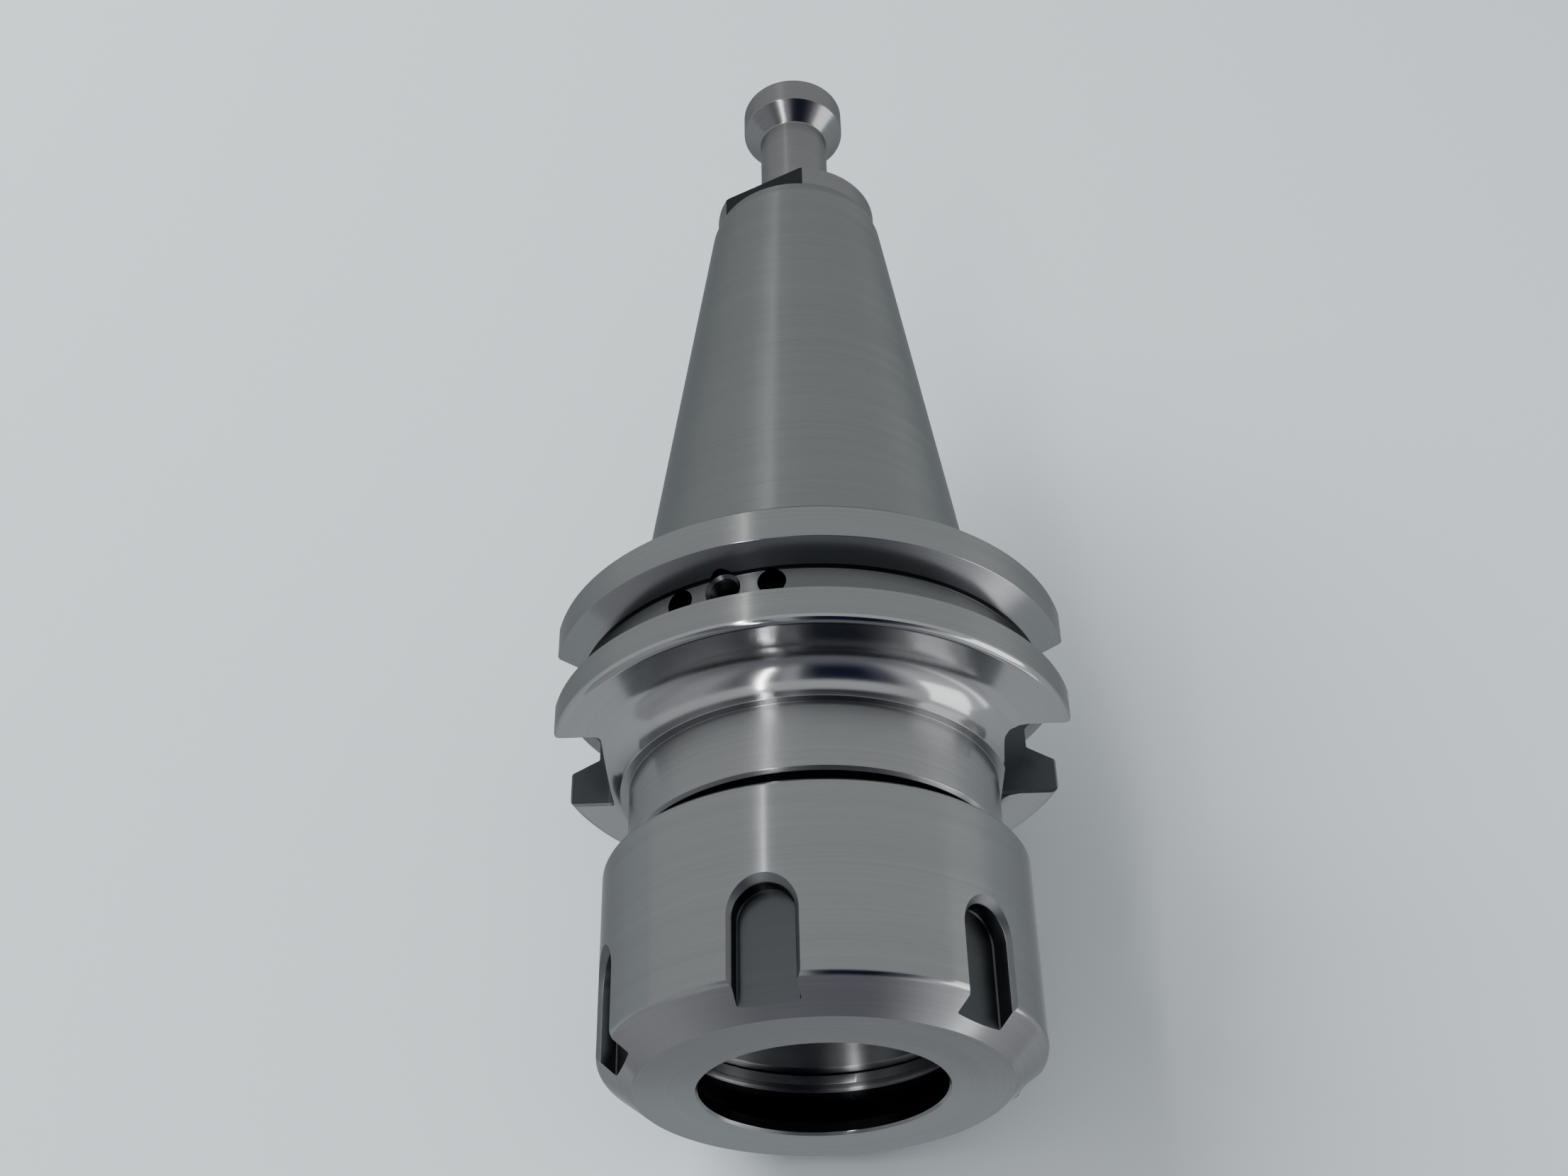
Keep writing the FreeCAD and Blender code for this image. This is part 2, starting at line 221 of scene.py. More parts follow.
# %% [markdown]
# A milled slot or a drilled hole is cut with a Boolean modifier, as the cutter does on
# the real machine, and the result is kept as a plain mesh. A Boolean leaves long thin
# faces whose ordinary smooth shading shows stripes on bright metal. The surface's true
# direction is known for every run of the section, so it is written into the mesh as
# custom normals; faces that a cutter left get smooth shading up to a sharp edge.

# %% Cutting and true normals
SHARP_ANGLE = math.radians(28)
SMALLEST_RADIUS = 1e-6


def cut(piece, cutters):
    """The piece with all cutters taken away, as a plain mesh. The cutters are removed."""
    for cutter in cutters:
        modifier = piece.modifiers.new("cut", "BOOLEAN")
        modifier.operation = "DIFFERENCE"
        modifier.solver = "EXACT"
        modifier.material_mode = "INDEX"
        modifier.object = cutter
    bpy.context.view_layer.update()
    evaluated = piece.evaluated_get(bpy.context.evaluated_depsgraph_get())
    result = bpy.data.meshes.new_from_object(evaluated)
    piece.modifiers.clear()
    rough_mesh = piece.data
    piece.data = result
    bpy.data.meshes.remove(rough_mesh)
    for cutter in cutters:
        cutter_mesh = cutter.data
        bpy.data.objects.remove(cutter)
        bpy.data.meshes.remove(cutter_mesh)
    print(piece.name, "cut by", len(cutters), "cutters")


def read(items, attribute, kind=np.int32, width=1):
    """An attribute of all of a mesh's items as an array; vectors get one row each."""
    values = np.empty(len(items) * width, kind)
    items.foreach_get(attribute, values)
    return values.reshape(-1, width) if width > 1 else values


def true_normals(mesh, runs):
    """Custom normals: each face's run gives the outward direction in (radius, height).

    At a point, t is how far along its run the point lies, the direction is
    (1 - t) * start way + t * end way, and it is turned to the point's own angle.
    """
    mesh.polygons.foreach_set("use_smooth", np.ones(len(mesh.polygons), bool))
    mesh.set_sharp_from_angle(angle=SHARP_ANGLE)
    normals = read(mesh.corner_normals, "vector", np.float32, 3)
    numbers = read(mesh.polygons, "material_index")
    corner_numbers = np.repeat(numbers, read(mesh.polygons, "loop_total"))
    vertex_places = read(mesh.vertices, "co", np.float32, 3)
    places = vertex_places[read(mesh.loops, "vertex_index")] / MM
    on_turned = corner_numbers < len(runs)
    run = runs[corner_numbers[on_turned]]
    spot = places[on_turned]
    radii = np.hypot(spot[:, 0], spot[:, 1])
    along = run[:, 1] - run[:, 0]
    offset = np.stack([radii, spot[:, 2]], axis=1) - run[:, 0]
    share = np.clip((offset * along).sum(1) / (along * along).sum(1), 0, 1)[:, None]
    way = (1 - share) * run[:, 2] + share * run[:, 3]
    way /= np.linalg.norm(way, axis=1, keepdims=True)
    safe = np.maximum(radii, SMALLEST_RADIUS)
    normals[on_turned] = np.stack(
        [way[:, 0] * spot[:, 0] / safe, way[:, 0] * spot[:, 1] / safe, way[:, 1]], axis=1
    )
    mesh.normals_split_custom_set(normals.tolist())
    return numbers


# %% [markdown]
# Which finish a run of a section gets depends only on where it lies, so a piece's
# finishes are a list of zones, each with its radii and heights in millimetres. The
# first zone that holds the middle of a run gives the run's finish. The kinds of face
# that the cutters leave have a finish each too.

# %% Finishing a piece
def below(limit):
    """Range of everything below a limit."""
    return -math.inf, limit


def above(limit):
    """Range of everything above a limit."""
    return limit, math.inf


ANY = (-math.inf, math.inf)


def finish_at(zones, radius, height):
    """Finish of the first zone, (finish, radii, heights), that holds the place."""
    for finish, radii, heights in zones:
        if radii[0] < radius < radii[1] and heights[0] < height < heights[1]:
            return finish
    raise ValueError(f"no zone holds radius {radius}, height {height}")


def finish_piece(piece, runs, zones, cut_finishes, body, node):
    """True normals, then a finish for each run of the section and each kind of cut face."""
    mesh = piece.data
    numbers = true_normals(mesh, runs)
    run_finishes = [finish_at(zones, *run[:2].mean(axis=0)) for run in runs]
    finishes = list(dict.fromkeys(run_finishes + cut_finishes))
    lookup = np.zeros(SLOTS_HELD, np.int32)
    lookup[: len(runs)] = [finishes.index(finish) for finish in run_finishes]
    kinds = slice(CUT_FACE, CUT_FACE + len(cut_finishes))
    lookup[kinds] = [finishes.index(finish) for finish in cut_finishes]
    mesh.materials.clear()
    for finish in finishes:
        mesh.materials.append(finish)
    mesh.polygons.foreach_set("material_index", lookup[numbers])
    mesh.update()
    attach(piece, body)
    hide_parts(node)
    print(piece.name, "has", len(mesh.polygons), "faces and", len(finishes), "finishes")


# %% [markdown]
# Turned steel shows rings: the tool leaves a fine groove each turn, and the light is
# smeared across those rings but stays sharp along them. The smear is the shader's
# anisotropy, turned a quarter so that it runs across the rings. The rings themselves
# are one node group used by every finish. It reads the distance from the spindle axis
# and the height, so the pattern follows walls, faces and cones alike.

# %% Ring pattern for turned and ground steel
BAND_SHARE = 0.13  # the bands' coordinates are the rings' times this
ANGLE_STRETCH = 0.35  # how fast both change round the axis
RING_DETAIL = 1.0
BAND_DETAIL = 2.0


def new_group(name, inputs, outputs):
    """Empty shader node group with float inputs (name, default) and float outputs."""
    group = bpy.data.node_groups.new(name, "ShaderNodeTree")
    sockets = group.interface
    for label, default in inputs:
        made = sockets.new_socket(label, in_out="INPUT", socket_type="NodeSocketFloat")
        made.default_value = default
    for label in outputs:
        sockets.new_socket(label, in_out="OUTPUT", socket_type="NodeSocketFloat")
    return group, group.nodes.new("NodeGroupInput"), group.nodes.new("NodeGroupOutput")


def math_node(tree, operation, first, second, limit=False):
    """Math node; each term is a socket or a number."""
    node = tree.nodes.new("ShaderNodeMath")
    node.operation = operation
    node.use_clamp = limit
    for socket, value in zip(node.inputs, (first, second)):
        if isinstance(value, (int, float)):
            socket.default_value = value
        else:
            tree.links.new(value, socket)
    return node.outputs[0]


def object_place(tree):
    """Place of the shaded point in the object's own coordinates, as a socket."""
    return tree.nodes.new("ShaderNodeTexCoord").outputs["Object"]


def spindle_coordinates(tree):
    """Distance from the spindle axis, height and angle of the shaded point, as sockets."""
    parts = tree.nodes.new("ShaderNodeSeparateXYZ")
    tree.links.new(object_place(tree), parts.inputs[0])
    flat = tree.nodes.new("ShaderNodeCombineXYZ")
    tree.links.new(parts.outputs["X"], flat.inputs["X"])
    tree.links.new(parts.outputs["Y"], flat.inputs["Y"])
    length = tree.nodes.new("ShaderNodeVectorMath")
    length.operation = "LENGTH"
    tree.links.new(flat.outputs[0], length.inputs[0])
    angle = math_node(tree, "ARCTAN2", parts.outputs["Y"], parts.outputs["X"])
    return length.outputs["Value"], parts.outputs["Z"], angle


def noise_at(tree, across, along, around, detail):
    """Noise read at three sockets used as its coordinates."""
    vector = tree.nodes.new("ShaderNodeCombineXYZ")
    for socket, value in zip(vector.inputs, (across, along, around)):
        tree.links.new(value, socket)
    noise = tree.nodes.new("ShaderNodeTexNoise")
    noise.inputs["Scale"].default_value = 1.0
    noise.inputs["Detail"].default_value = detail
    tree.links.new(vector.outputs[0], noise.inputs["Vector"])
    return noise.outputs["Fac"]


def ring_pattern():
    """Group: fine rings and broad bands of rings, from noise(radius/pitch, height/pitch)."""
    group, given, result = new_group("ring_pattern", [("Pitch", 0.0002)], ["Rings", "Bands"])
    radius, height, angle = spindle_coordinates(group)
    pitch = given.outputs["Pitch"]
    fine_radius = math_node(group, "DIVIDE", radius, pitch)
    fine_height = math_node(group, "DIVIDE", height, pitch)
    slow_angle = math_node(group, "MULTIPLY", angle, ANGLE_STRETCH)
    rings = noise_at(group, fine_radius, fine_height, slow_angle, RING_DETAIL)
    broad_radius = math_node(group, "MULTIPLY", fine_radius, BAND_SHARE)
    broad_height = math_node(group, "MULTIPLY", fine_height, BAND_SHARE)
    bands = noise_at(group, broad_radius, broad_height, slow_angle, BAND_DETAIL)
    group.links.new(rings, result.inputs["Rings"])
    group.links.new(bands, result.inputs["Bands"])
    return group


RINGS = ring_pattern()
print("group made:", RINGS.name)

# %% [markdown]
# Steel that has been handled has faint smears of oil and a few tiny dents. They are
# another group: a soft cloud for the smears, and small cells of which only a few become
# dents. Each finish takes as much of them as its surface shows.

# %% Handling marks
SMEAR_DETAIL = 4.0
SMEAR_ROUGHNESS = 0.6
DENT_SIZE = 0.32  # of a cell
DENT_CHOICE = 0.9  # only cells with a random value above this become dents


def handling_marks():
    """Group: soft smears from broad noise, and sparse dents at the centres of small cells."""
    group, given, result = new_group(
        "handling_marks", [("Smear Scale", 70.0), ("Dent Scale", 420.0)], ["Smears", "Dents"]
    )
    place = object_place(group)
    cloud = group.nodes.new("ShaderNodeTexNoise")
    cloud.inputs["Detail"].default_value = SMEAR_DETAIL
    cloud.inputs["Roughness"].default_value = SMEAR_ROUGHNESS
    group.links.new(place, cloud.inputs["Vector"])
    group.links.new(given.outputs["Smear Scale"], cloud.inputs["Scale"])
    cells = group.nodes.new("ShaderNodeTexVoronoi")
    group.links.new(place, cells.inputs["Vector"])
    group.links.new(given.outputs["Dent Scale"], cells.inputs["Scale"])
    near = math_node(group, "SUBTRACT", DENT_SIZE, cells.outputs["Distance"], limit=True)
    pick = group.nodes.new("ShaderNodeSeparateColor")
    group.links.new(cells.outputs["Color"], pick.inputs[0])
    chosen = math_node(group, "GREATER_THAN", pick.outputs["Red"], DENT_CHOICE)
    dents = math_node(group, "MULTIPLY", near, chosen)
    group.links.new(cloud.outputs["Fac"], result.inputs["Smears"])
    group.links.new(dents, result.inputs["Dents"])
    return group


MARKS = handling_marks()
print("group made:", MARKS.name)

# %% [markdown]
# One function makes every steel finish. Bright metal is mostly what it mirrors, so its
# colour varies little; what tells a ground taper from a polished fillet is how rough it
# is, how long the smear is, and how deep the rings are. Those numbers are the finish.
# Metal seen at a flat angle mirrors more than it does face on, which would draw light
# outlines round each piece. The photograph has none, so the edge tint holds that back.

# %% Steel finishes
EDGE_TINT = 0.55
QUARTER_TURN = 0.25
COLOUR_SWING = 0.14  # rings make the colour lighter and darker by up to this share
RING_WEIGHT = 0.5
BAND_WEIGHT = 0.5
MIX_FIRST, MIX_SECOND, MIX_RESULT = 6, 7, 2  # colour sockets of the mix node


def steel(name, colour, roughness, smear_length, pitch, ring_depth, cloudiness=0.08,
          dent_depth=0.0):
    """Steel with rings; pitch and depths are in millimetres.

    Roughness = given + cloudiness * (smears + bands - 1); height = rings - dents.
    """
    finish = bpy.data.materials.new(name)
    finish.use_nodes = True
    finish.diffuse_color = (*colour, 1)
    tree = finish.node_tree
    shader = tree.nodes["Principled BSDF"]
    shader.inputs["Metallic"].default_value = 1.0
    shader.inputs["Anisotropic"].default_value = smear_length
    shader.inputs["Anisotropic Rotation"].default_value = QUARTER_TURN
    shader.inputs["Specular Tint"].default_value = (EDGE_TINT, EDGE_TINT, EDGE_TINT, 1)
    rings = tree.nodes.new("ShaderNodeGroup")
    rings.node_tree = RINGS
    rings.inputs["Pitch"].default_value = pitch * MM
    marks = tree.nodes.new("ShaderNodeGroup")
    marks.node_tree = MARKS
    darker = [value * (1 - COLOUR_SWING) for value in colour]
    lighter = [min(1.0, value * (1 + COLOUR_SWING)) for value in colour]
    shade = tree.nodes.new("ShaderNodeMix")
    shade.data_type = "RGBA"
    shade.inputs[MIX_FIRST].default_value = (*darker, 1)
    shade.inputs[MIX_SECOND].default_value = (*lighter, 1)
    ring_blend = math_node(tree, "MULTIPLY", rings.outputs["Rings"], RING_WEIGHT)
    band_blend = math_node(tree, "MULTIPLY", rings.outputs["Bands"], BAND_WEIGHT)
    blend = math_node(tree, "ADD", ring_blend, band_blend)
    tree.links.new(blend, shade.inputs[0])
    tree.links.new(shade.outputs[MIX_RESULT], shader.inputs["Base Color"])
    cloud = math_node(tree, "MULTIPLY", marks.outputs["Smears"], cloudiness)
    ring_share = math_node(tree, "MULTIPLY", rings.outputs["Bands"], cloudiness)
    varied = math_node(tree, "ADD", cloud, ring_share)
    level = math_node(tree, "ADD", varied, roughness - cloudiness, limit=True)
    tree.links.new(level, shader.inputs["Roughness"])
    dents = math_node(tree, "MULTIPLY", marks.outputs["Dents"], -dent_depth)
    grooves = math_node(tree, "MULTIPLY", rings.outputs["Rings"], ring_depth)
    height = math_node(tree, "ADD", grooves, dents)
    bump = tree.nodes.new("ShaderNodeBump")
    bump.inputs["Distance"].default_value = MM
    bump.inputs["Strength"].default_value = 1.0
    tree.links.new(height, bump.inputs["Height"])
    tree.links.new(bump.outputs["Normal"], shader.inputs["Normal"])
    return finish


ground_taper = steel("ground_taper", (0.278, 0.29, 0.29), 0.29, 0.88, 0.25, 0.0005)
turned_rim = steel("turned_rim", (0.325, 0.332, 0.33), 0.2, 0.94, 0.2, 0.0003, 0.05)
polished_face = steel("polished_face", (0.47, 0.475, 0.48), 0.165, 0.7, 0.22, 0.0002, 0.04)
polished_edge = steel("polished_edge", (0.46, 0.465, 0.47), 0.11, 0.3, 0.22, 0.0001, 0.03)
groove_wall = steel("groove_wall", (0.32, 0.325, 0.335), 0.16, 0.5, 0.2, 0.0002, 0.04)
groove_floor = steel("groove_floor", (0.19, 0.195, 0.2), 0.24, 0.8, 0.2, 0.0004, 0.06)
turned_neck = steel("turned_neck", (0.355, 0.36, 0.367), 0.25, 0.8, 0.45, 0.0014, 0.06)
bore_steel = steel("bore_steel", (0.5, 0.505, 0.51), 0.3, 0.95, 0.3, 0.0003, 0.05)
satin_nut = steel("satin_nut", (0.335, 0.342, 0.346), 0.17, 0.93, 0.2, 0.0002, 0.04, 0.01)
polished_chamfer = steel("polished_chamfer", (0.43, 0.43, 0.44), 0.16, 0.6, 0.25, 0.0004, 0.05)
nut_face = steel("nut_face", (0.475, 0.488, 0.49), 0.26, 0.4, 0.35, 0.0005, 0.08, 0.02)
# dark grey for the slots, the tapped hole and the groove's lower wall; in the relief behind
# the nose it is painted shade
slot_grey_and_gap_shade = steel("slot_grey_and_gap_shade", (0.084, 0.09, 0.096), 0.3, 0.0, 0.5, 0.0006, 0.1)
broken_edge = steel("broken_edge", (0.2, 0.208, 0.213), 0.42, 0.0, 0.4, 0.0006, 0.1)
ground_knob = steel("ground_knob", (0.275, 0.275, 0.277), 0.31, 0.6, 0.22, 0.0006, 0.05)
knob_cone = steel("knob_cone", (0.29, 0.29, 0.295), 0.21, 0.4, 0.22, 0.0003, 0.05)
# near black: black oxide on the set screw, and painted shade in the balance holes, on the
# knob's flats, in the nut's mouth and in a corner of the groove
black_oxide_and_shade = steel("black_oxide_and_shade", (0.045, 0.045, 0.047), 0.26, 0.0, 0.3, 0.0, 0.1)
print("finishes made, from", ground_taper.name, "to", black_oxide_and_shade.name)

# %% [markdown]
# The holder's body is one bar: nose, relief, neck, boss, flange with its V groove, and
# the long steep taper, and inside it the knob's thread, the bore and the collet socket.
# Its section is listed corner by corner, up the outside and down the inside. Heights and radii
# are those of the solid, to a few hundredths of a millimetre. The small rounds are added, and
# the boss's hollow side, three bevels in the solid, becomes a true round. One point more lies
# on the groove's upper wall close to its foot, where the photograph shows a thin dark line;
# the short stretch below that point is painted nearly black as shade in the corner.

# %% Section of the holder's body
body_corners = [
    (18.513, 8.603, 0.1), (19.513, 9.603, 0.2), (19.513, 23.987, 0.1), (18.7, 24.8, 0.2),
    (18.7, 28.0, 0.25), (21.8, 28.0, 0.1), (22.2, 28.4, 0.1), (22.2, 36.6, 0.06),
    (23.3, 36.6, 0.08), (23.3, 40.95, 3.75), (31.73, 40.95, 0.9), (31.73, 45.425, 0.12),
    (28.3, 47.417, 0.3), (28.3, 50.383, 0.2), (28.75, 50.644, 0), (31.73, 52.375, 0.12),
    (31.73, 56.425, 0.1), (31.33, 56.825, 0.1), (21.725, 56.825, 0.3), (21.725, 59.5, 0.1),
    (22.225, 60.0, 0.1), (12.272, 128.25, 0.3), (11.6, 130.1, 0.15), (7.238, 130.1, 0.1),
    (7.238, 101.1, 0.1), (5.5, 101.1, 0.1), (5.5, 86.0, 0.1), (11.16, 86.0, 0.2),
    (11.16, 47.103, 0.3), (16.5, 9.103, 0.1), (17.0, 8.603, 0.1),
]
body_runs = section(body_corners)
print("body section has", len(body_runs), "runs")

# %% [markdown]
# The two drive slots are milled right across the flange, to unequal depths. A slot is
# the space that the milling cutter clears, so the cutter is a solid whose outline in
# plan is swept up the axis. Its mouth opens at about 45 degrees near the rim and near
# both faces of the flange, which leaves the narrow bevels that a deburring tool makes.

# %% Drive slots
FLANGE_RADIUS = 31.75
SLOT_HALF_WIDTH = 8.19
SLOT_CORNER = 0.8
CORNER_POINTS = 7
BEVEL = 0.3
SLOT_HEIGHTS = (36.6, 40.9, 41.25, 56.525, 58.0)
SLOT_WIDENINGS = (BEVEL, BEVEL, 0.0, 0.0, 1.475)


def slot_outline(floor, widening):
    """Plan of a drive slot's cutter, counter-clockwise: mouth, wall, rounded floor, wall."""
    half = SLOT_HALF_WIDTH + widening
    rim = math.sqrt(FLANGE_RADIUS**2 - half**2) - BEVEL
    mouth = FLANGE_RADIUS + 2
    turn = np.linspace(0, np.pi / 2, CORNER_POINTS)
    corner_x = floor + SLOT_CORNER * (1 - np.sin(turn))
    corner_y = half - SLOT_CORNER * (1 - np.cos(turn))
    left = np.stack([corner_x, corner_y], axis=1)
    mouth_points = np.array([[mouth, -half - mouth + rim], [mouth, half + mouth - rim]])
    left = np.vstack([[[rim, half]], left])
    right = left[::-1] * (1, -1)
    return np.vstack([mouth_points, left, right])


def drive_slot(name, floor, degrees):
    """Drive-slot cutter, drawn towards +X and turned: its plan widens near both faces."""
    rings = []
    for height, widening in zip(SLOT_HEIGHTS, SLOT_WIDENINGS):
        plan = slot_outline(floor, widening)
        rings.append(np.column_stack([plan, np.full(len(plan), height)]))
    grid = turned_about_z(np.array(rings), degrees)
    numbers = np.full((len(grid) - 1, grid.shape[1]), CUT_FACE)
    numbers[[1, 3]] = CUT_FACE + 2
    numbers[:, [1, -1]] = CUT_FACE + 2
    return skin(name, grid, numbers)


print("a drive slot's plan has", len(slot_outline(22.6, 0.0)), "points")

# %% [markdown]
# Three small holes are drilled into the floor of the groove: two for balance and one
# tapped for a set screw. A hole's cutter is a turned shape laid along a radius of the
# flange. The tapped one has ridges, so that its wall shows thread.

# %% Holes in the groove
GROOVE_HEIGHT = 48.9
GROOVE_FLOOR = 28.3
HOLE_AROUND = 48
PAST_FLANGE = FLANGE_RADIUS + 1
BALANCE_RADIUS = 1.65
BALANCE_DEPTH = 7.5
POINT_SLOPE = 0.6
POINT_RADIUS = 0.15
SCREW_AZIMUTH = -19.8
TAP_FOOT = 19.3
TAP_FOOT_RADIUS = 0.1
THREAD_START = 4.6
THREAD_FOOT = 23.6
THREAD_POINTS = 13
TAP_MOUTH = 28.2
TAP_MOUTH_RADIUS = 2.15
CORE_RADIUS = 1.72
CREST_RADIUS = 2.0
THREAD_STEP = 0.35


def outward_grid(profile, azimuth):
    """Rings of (radius, distance from the spindle axis) about a radial line of the flange.

    The line points to -Y at azimuth 0 and to +X at azimuth 90.
    """
    angles = circle_angles(HOLE_AROUND)
    radii, distances = profile[:, 0, None], profile[:, 1, None]
    sideways = radii * np.cos(angles)
    upwards = GROOVE_HEIGHT + radii * np.sin(angles)
    grid = np.stack([sideways, -distances + 0 * angles, upwards], axis=-1)
    return turned_about_z(grid, azimuth)


def balance_hole(name, azimuth):
    """Drill cutter: cone point, then a straight wall out past the flange."""
    inner = GROOVE_FLOOR - BALANCE_DEPTH
    wall_start = inner + POINT_SLOPE * BALANCE_RADIUS
    wall = [(BALANCE_RADIUS, wall_start), (BALANCE_RADIUS, PAST_FLANGE)]
    grid = outward_grid(np.array([(POINT_RADIUS, inner)] + wall), azimuth)
    return skin(name, grid, np.full(len(grid) - 1, CUT_FACE + 1))


def tapped_hole(name):
    """Tapped hole's cutter: its radius rises and falls between core and crest with depth."""
    steps = np.arange(THREAD_POINTS)
    distances = GROOVE_FLOOR - THREAD_START + THREAD_STEP * steps
    radii = np.where(steps % 2 == 0, CORE_RADIUS, CREST_RADIUS)
    wall = np.column_stack([radii, distances])
    foot = [(TAP_FOOT_RADIUS, TAP_FOOT), (CREST_RADIUS, TAP_FOOT), (CREST_RADIUS, THREAD_FOOT)]
    mouth = [(TAP_MOUTH_RADIUS, TAP_MOUTH), (TAP_MOUTH_RADIUS, PAST_FLANGE)]
    grid = outward_grid(np.vstack([foot, wall, mouth]), SCREW_AZIMUTH)
    return skin(name, grid, np.full(len(grid) - 1, CUT_FACE))


print("holes lie", GROOVE_HEIGHT, "mm above the nut's face")

# %% [markdown]
# Now the body is turned, cut and finished. The zones start inside, with bore and
# socket, and then go down the outside: taper, groove, rims, the polished front of the
# flange, the relief behind the nose, and the neck with all that is left.

# %% Holder body
body_zones = [
    (bore_steel, below(17.1), below(50)),
    (bore_steel, below(11.2), below(87)),
    (bore_steel, below(7.3), ANY),
    (ground_taper, ANY, above(58)),
    (groove_wall, below(31.7), (50.7, 52.3)),
    # painted shade: a nearly black band in the corner at the foot of the groove's upper wall
    (black_oxide_and_shade, ANY, (50.3, 50.7)),
    (groove_floor, below(28.5), (45.6, 50.35)),
    (slot_grey_and_gap_shade, ANY, (45.6, 50.35)),
    (turned_rim, ANY, above(41.83)),
    (polished_edge, above(30.8), above(40.96)),
    (polished_face, ANY, above(36.65)),
    # painted shade: the relief behind the nose, between the neck and the nut, gets the dark
    # slot grey
    (slot_grey_and_gap_shade, below(21), (24, 28.1)),
    (turned_neck, ANY, ANY),
]
body = turned("body_of_holder", body_runs)
body_cutters = [
    drive_slot("deep_slot", 22.6, 0),
    drive_slot("shallow_slot", 25.02, 180),
    balance_hole("left_balance_hole", -31.0),
    balance_hole("right_balance_hole", -8.1),
    tapped_hole("screw_hole"),
]
cut(body, body_cutters)
# painted shade: the balance holes' walls get the near black, for the dark inside them
body_cuts = [slot_grey_and_gap_shade, black_oxide_and_shade, broken_edge]
finish_piece(body, body_runs, body_zones, body_cuts, "holder", "holder_body")

# %% [markdown]
# The clamping nut is a plain ring outside, with a chamfered front. Inside it has a
# 30 degree cone that presses on the collet, a groove, and a lip bored off centre that
# snaps into the collet's own groove and pulls it out when the nut is undone. The
# corner behind the chamfer has the largest round, because it looks soft in the
# photograph.

# %% Section of the nut
nut_corners = [
    (14.1, 0.0, 0.08), (21.05, 0.0, 0.25), (25.0, 3.1, 1.1), (25.0, 25.4, 0.55),
    (20.3, 25.4, 0.12), (19.563, 24.66, 0.1), (19.563, 7.803, 0.1), (15.6, 7.803, 0.1),
    (15.6, 6.703, 0.1), (17.1, 6.703, 0.1), (17.1, 6.003, 0.1), (16.4, 6.003, 0.08),
    (13.8, 1.5, 0.2), (13.8, 0.3, 0.08),
]
nut_runs = section(nut_corners)
print("nut section has", len(nut_runs), "runs")

# %% [markdown]
# Six wrench slots are milled into the nut from the front. Each has a round end, a flat
# floor with a small bevel round it, and a flared mouth. The cutter is a stack of
# U-shaped outlines, each one wider or narrower by an amount that follows the depth.
# The lip is bored with a cylinder that stands a little off the spindle axis.

# %% Wrench slots and lip
WRENCH_SLOTS = 6
WRENCH_AZIMUTH = -13.4
WRENCH_HALF_WIDTH = 3.4
WRENCH_ARCH = 10.4
WRENCH_START = -6
WALL_STEPS = 8
ARCH_POINTS = 41
WRENCH_FLOOR = 22.4
WRENCH_FOOT = 0.15
WRENCH_LEVELS = (0, WRENCH_FOOT, 1.8, 1.86, 1.94, 4.1)  # above the slot's floor
WRENCH_WIDENINGS = (-WRENCH_FOOT, 0, 0, 0.03, 0.1, 2.58)
LIP_RADIUS = 16.3
LIP_OFFSET = 0.7
LIP_HEIGHTS = (6.353, 8.153)


def wrench_outline(widening, distance):
    """U-shaped outline facing -Y: up one wall, round the arch, down the other wall."""
    half = WRENCH_HALF_WIDTH + widening
    wall_heights = np.linspace(WRENCH_START, WRENCH_ARCH, WALL_STEPS + 1)[:-1]
    turn = np.linspace(0, np.pi, ARCH_POINTS)
    arch = np.column_stack([half * np.cos(turn), WRENCH_ARCH + half * np.sin(turn)])
    right = np.column_stack([np.full(len(wall_heights), half), wall_heights])
    left = right[::-1] * (-1, 1)
    outline = np.vstack([right, arch, left])
    distances = np.full(len(outline), -distance)
    return np.column_stack([outline[:, 0], distances, outline[:, 1]])


def wrench_slot(name, azimuth):
    """Wrench-slot cutter: the outline widens a little at the foot and a lot in the flare."""
    distances = np.array(WRENCH_LEVELS) + WRENCH_FLOOR
    grid = np.array([wrench_outline(w, d) for w, d in zip(WRENCH_WIDENINGS, distances)])
    numbers = np.full(len(grid) - 1, CUT_FACE)
    numbers[2:] = CUT_FACE + 2
    return skin(name, turned_about_z(grid, azimuth), numbers)


def lip_bore(name):
    """Cutter of the off-centre lip: a cylinder whose axis is a little towards -Y."""
    angles = circle_angles(AROUND)
    across = LIP_RADIUS * np.cos(angles)
    deep = LIP_RADIUS * np.sin(angles) - LIP_OFFSET
    ring = np.stack([across, deep, 0 * angles], axis=-1)
    grid = np.array([ring + (0, 0, height) for height in LIP_HEIGHTS])
    return skin(name, grid, np.full(1, CUT_FACE + 1))


print("a wrench slot's outline has", len(wrench_outline(0, WRENCH_FLOOR)), "points")

# %% [markdown]
# The nut is satin outside. Its mouth, the 30 degree cone, is painted nearly black as shade.
# The slots' faces get a dark grey.

# %% Clamping nut
nut_zones = [
    # painted shade: the nut's 30 degree cone in its mouth is nearly black
    (black_oxide_and_shade, below(16.5), (0.5, 5.9)),
    (bore_steel, below(19.7), above(0.4)),
    (polished_chamfer, above(21), below(3.2)),
    (nut_face, ANY, below(0.1)),
    (satin_nut, ANY, ANY),
]
nut = turned("slotted_nut", nut_runs)
wrench_azimuths = [WRENCH_AZIMUTH + 60 * index for index in range(WRENCH_SLOTS)]
nut_cutters = [wrench_slot("wrench_slot", azimuth) for azimuth in wrench_azimuths]
nut_cutters.append(lip_bore("lip_bore"))
cut(nut, nut_cutters)
nut_cuts = [slot_grey_and_gap_shade, bore_steel, broken_edge]
finish_piece(nut, nut_runs, nut_zones, nut_cuts, "nut", "clamping_nut")

